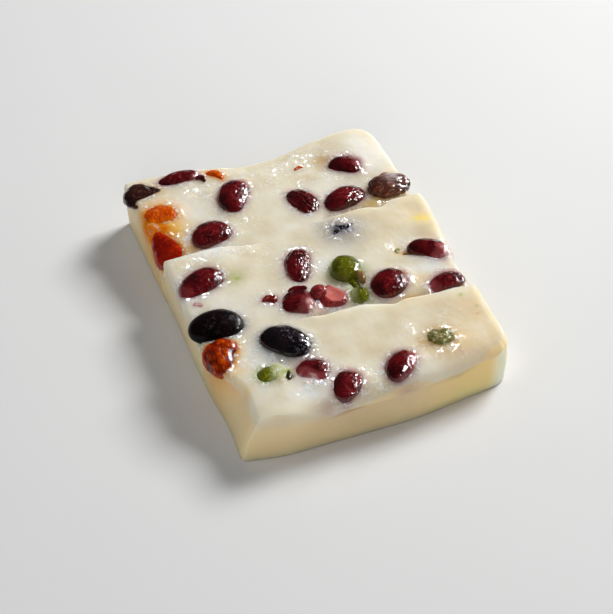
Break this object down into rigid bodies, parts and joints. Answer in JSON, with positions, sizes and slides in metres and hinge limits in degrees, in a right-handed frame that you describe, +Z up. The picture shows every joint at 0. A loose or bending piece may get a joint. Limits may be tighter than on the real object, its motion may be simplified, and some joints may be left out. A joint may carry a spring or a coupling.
{
  "type": "red bean rice cake",
  "caption": "Slab of ivory glutinous rice cake, cut into strips that still lie together, with red beans, black beans, peas and pumpkin pressed into its top.",
  "frame": {"origin": "middle of the slab's underside, below the centre of its bounding box", "axes": "+X along the strips, +Y across them from the front strip to the back one, +Z up out of the beaned top"},
  "size_m": [0.0777, 0.0994, 0.02],
  "materials": {
    "rice_cake": "ivory glutinous rice, slightly translucent, moist and sticky",
    "red_bean": "dark burgundy cooked bean skin, wrinkled, moist gloss",
    "split_bean": "torn burgundy bean skin over pink flesh",
    "brown_bean": "brown-black shrivelled bean skin, gloss",
    "black_bean": "near-black cooked bean skin, moist gloss",
    "pea": "olive green cooked pea, moist gloss",
    "pumpkin": "orange to dark red-brown dried pumpkin flesh, moist"
  },
  "bodies": {
    "root": {"slice_back": "rice_cake", "slice_middle": "rice_cake", "slice_front": "rice_cake", "brown_bean_corner": "brown_bean", "red_bean_rim": "red_bean", "pumpkin_shred": "pumpkin", "red_bean_back_1": "red_bean", "red_bean_back_2": "red_bean", "red_bean_back_3": "red_bean", "red_bean_back_4": "red_bean", "brown_bean_back": "brown_bean", "red_bean_back_5": "red_bean", "pumpkin_back": "pumpkin", "pumpkin_edge": "pumpkin", "black_bean_sunk": "black_bean", "red_bean_middle_1": "red_bean", "red_bean_middle_2": "red_bean", "pea_middle_1": "pea", "pea_middle_2": "pea", "red_bean_middle_3": "red_bean", "red_bean_middle_4": "red_bean", "red_bean_middle_5": "red_bean", "red_bean_middle_6": "red_bean", "red_bean_split": "split_bean", "red_bean_chip": "red_bean", "black_bean_left": "black_bean", "black_bean_right": "black_bean", "pumpkin_front": "pumpkin", "pea_front_1": "pea", "olive_chip": "pea", "red_bean_front_1": "red_bean", "red_bean_front_2": "red_bean", "red_bean_front_3": "red_bean", "pea_front_2": "pea"}
  },
  "joints": []
}
